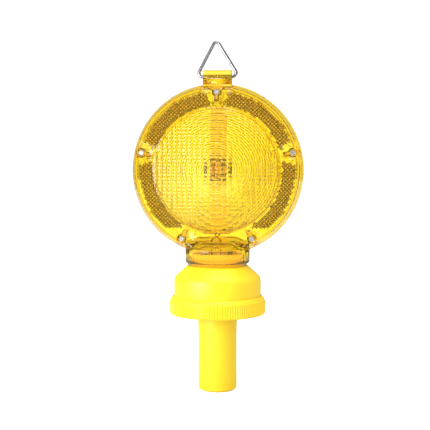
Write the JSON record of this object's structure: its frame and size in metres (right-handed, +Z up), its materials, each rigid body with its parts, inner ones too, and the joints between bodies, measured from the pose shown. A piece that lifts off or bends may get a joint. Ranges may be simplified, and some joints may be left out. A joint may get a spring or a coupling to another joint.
{
  "type": "cone-top warning lamp",
  "caption": "Round two-sided amber warning lamp with wire hanger, transparent neck, flared screw-apart housing and a plain spigot that drops into a traffic cone.",
  "frame": {"origin": "middle of the spigot's flat bottom end", "axes": "+Z up along the spigot, -Y out of the front lens, +X to the right seen from the front"},
  "size_m": [0.18, 0.1014, 0.3664],
  "materials": {
    "amber_lens": "clear amber polycarbonate, moulded with grid and ring lenses",
    "prism_plate": "amber cube-corner prism sheet, dull ochre under even light",
    "yellow_housing": "lemon-yellow moulded plastic with a fine satin grain",
    "screw_steel": "zinc-plated steel screws",
    "hanger_steel": "galvanised steel wire, lightly streaked",
    "board_tan": "pale tan phenolic board",
    "led_amber": "clear amber resin LED",
    "holder_brown": "dark red-brown moulded LED collar",
    "lead_red": "red PVC-covered lead",
    "lead_black": "black PVC-covered lead",
    "carrier_grey": "dark grey moulded plastic",
    "contact_nickel": "nickel-plated spring steel",
    "chip_black": "black epoxy package",
    "capacitor_blue": "dark blue shrink sleeve",
    "resistor_tan": "tan lacquer",
    "sensor_orange": "resin-capped light sensor",
    "switch_metal": "tinned steel switch can",
    "switch_black": "black plastic slider",
    "seal_rubber": "black rubber",
    "cell_jacket": "plain grey cell jacket with bare metal ends"
  },
  "bodies": {
    "base": {"screw_base": "yellow_housing", "end_plug": "yellow_housing", "spring_plate": "contact_nickel", "battery_spring": "contact_nickel", "battery_lower": "cell_jacket", "battery_upper": "cell_jacket", "return_strip": "contact_nickel"},
    "gasket": {"base_gasket": "seal_rubber"},
    "housing": {"housing": "yellow_housing", "contact_carrier": "carrier_grey", "top_contact": "contact_nickel", "return_contact": "contact_nickel", "flasher_board": "board_tan", "flasher_chip": "chip_black", "capacitor": "capacitor_blue", "resistors": "resistor_tan", "photocell": "sensor_orange", "switch_body": "switch_metal"},
    "switch": {"switch_slider": "switch_black"},
    "lens_head": {"lens_front": "amber_lens", "lens_rear": "amber_lens", "reflector_front_left": "prism_plate", "reflector_front_right": "prism_plate", "reflector_rear_left": "prism_plate", "reflector_rear_right": "prism_plate", "case_screws": "screw_steel", "led_board": "board_tan", "led_front": "led_amber", "led_rear": "led_amber", "led_holders": "holder_brown", "lead_red": "lead_red", "lead_black": "lead_black"},
    "hanger": {"hanger_wire": "hanger_steel"}
  },
  "joints": [
    {"name": "housing_turn", "type": "hinge", "parent": "base", "child": "gasket", "pos_m": [0, 0, 0.084], "axis": [0, 0, 1], "range_deg": [0, 720]},
    {"name": "housing_lift", "type": "slide", "parent": "gasket", "child": "housing", "axis": [0, 0, 1], "range_m": [0, 0.008]},
    {"name": "head_swivel", "type": "hinge", "parent": "housing", "child": "lens_head", "pos_m": [0, 0, 0.14], "axis": [0, 0, 1], "range_deg": [-180, 180]},
    {"name": "hanger_swing", "type": "hinge", "parent": "lens_head", "child": "hanger", "pos_m": [0, 0, 0.3292], "axis": [1, 0, 0], "range_deg": [-120, 120]},
    {"name": "switch_slide", "type": "slide", "parent": "housing", "child": "switch", "axis": [1, 0, 0], "range_m": [0, 0.0025]}
  ],
  "couplings": [
    {"joint": "housing_lift", "follows": "housing_turn", "m_per_rad": 0.00063662}
  ]
}
